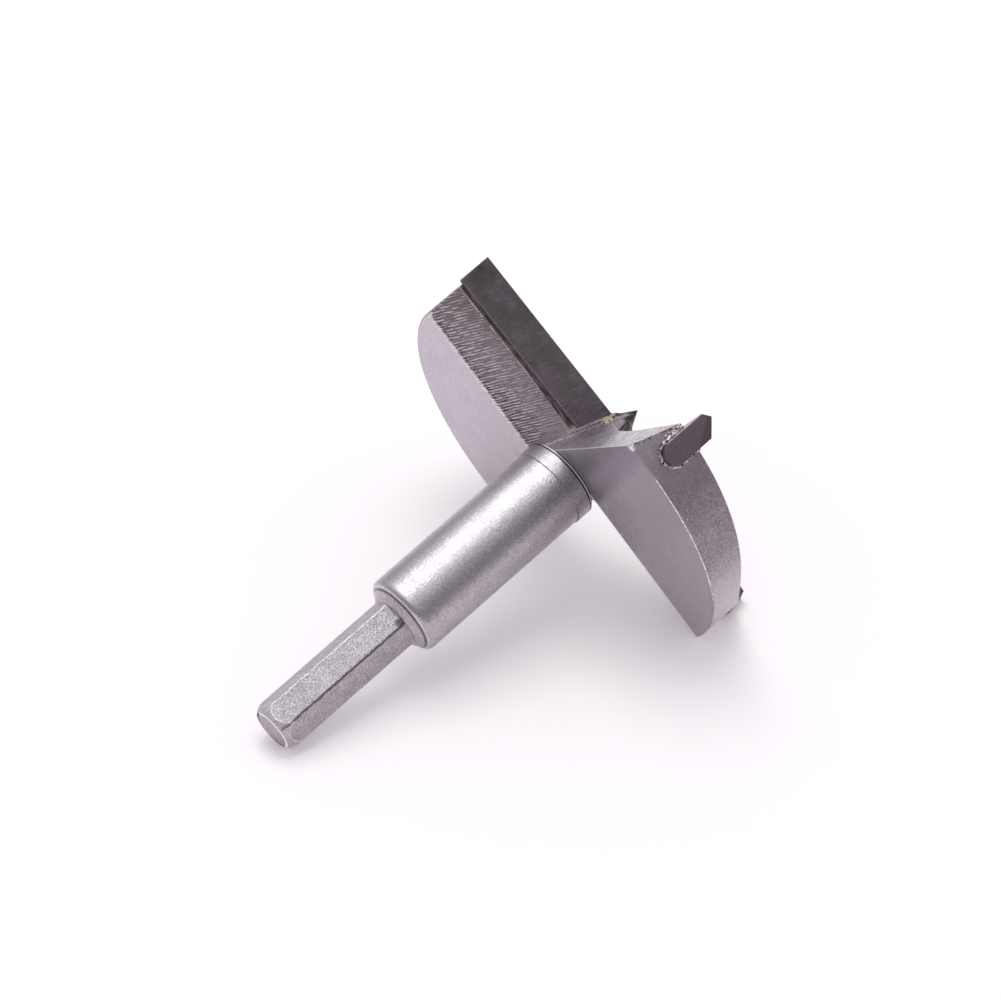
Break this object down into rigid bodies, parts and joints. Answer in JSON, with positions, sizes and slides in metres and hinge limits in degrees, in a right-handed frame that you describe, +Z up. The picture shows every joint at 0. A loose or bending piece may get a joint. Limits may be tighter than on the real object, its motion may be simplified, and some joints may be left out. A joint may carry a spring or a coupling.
{
  "type": "forstner bit",
  "caption": "Two-winged forstner drill bit with brazed carbide cutters and rim spurs, a turned centre point and a round shank that ends in a hexagonal drive, lying at rest.",
  "frame": {"origin": "centre of the part's footprint box, on the surface the bit lies on", "axes": "+X runs along the bit toward its centre point, which stands 17.7 degrees above the surface; +Y is level and across the bit; +Z is up"},
  "size_m": [0.0926, 0.0772, 0.0607],
  "materials": {
    "tool_steel": "turned and milled steel, satin",
    "carbide": "ground sintered carbide, dark grey",
    "braze": "rough silver brazing alloy"
  },
  "bodies": {
    "root": {"bit_body": "tool_steel", "cutter_a": "carbide", "cutter_b": "carbide", "spur_a": "carbide", "spur_b": "carbide", "cutter_braze_a": "braze", "cutter_braze_b": "braze", "spur_braze_a": "braze", "spur_braze_b": "braze"}
  },
  "joints": []
}
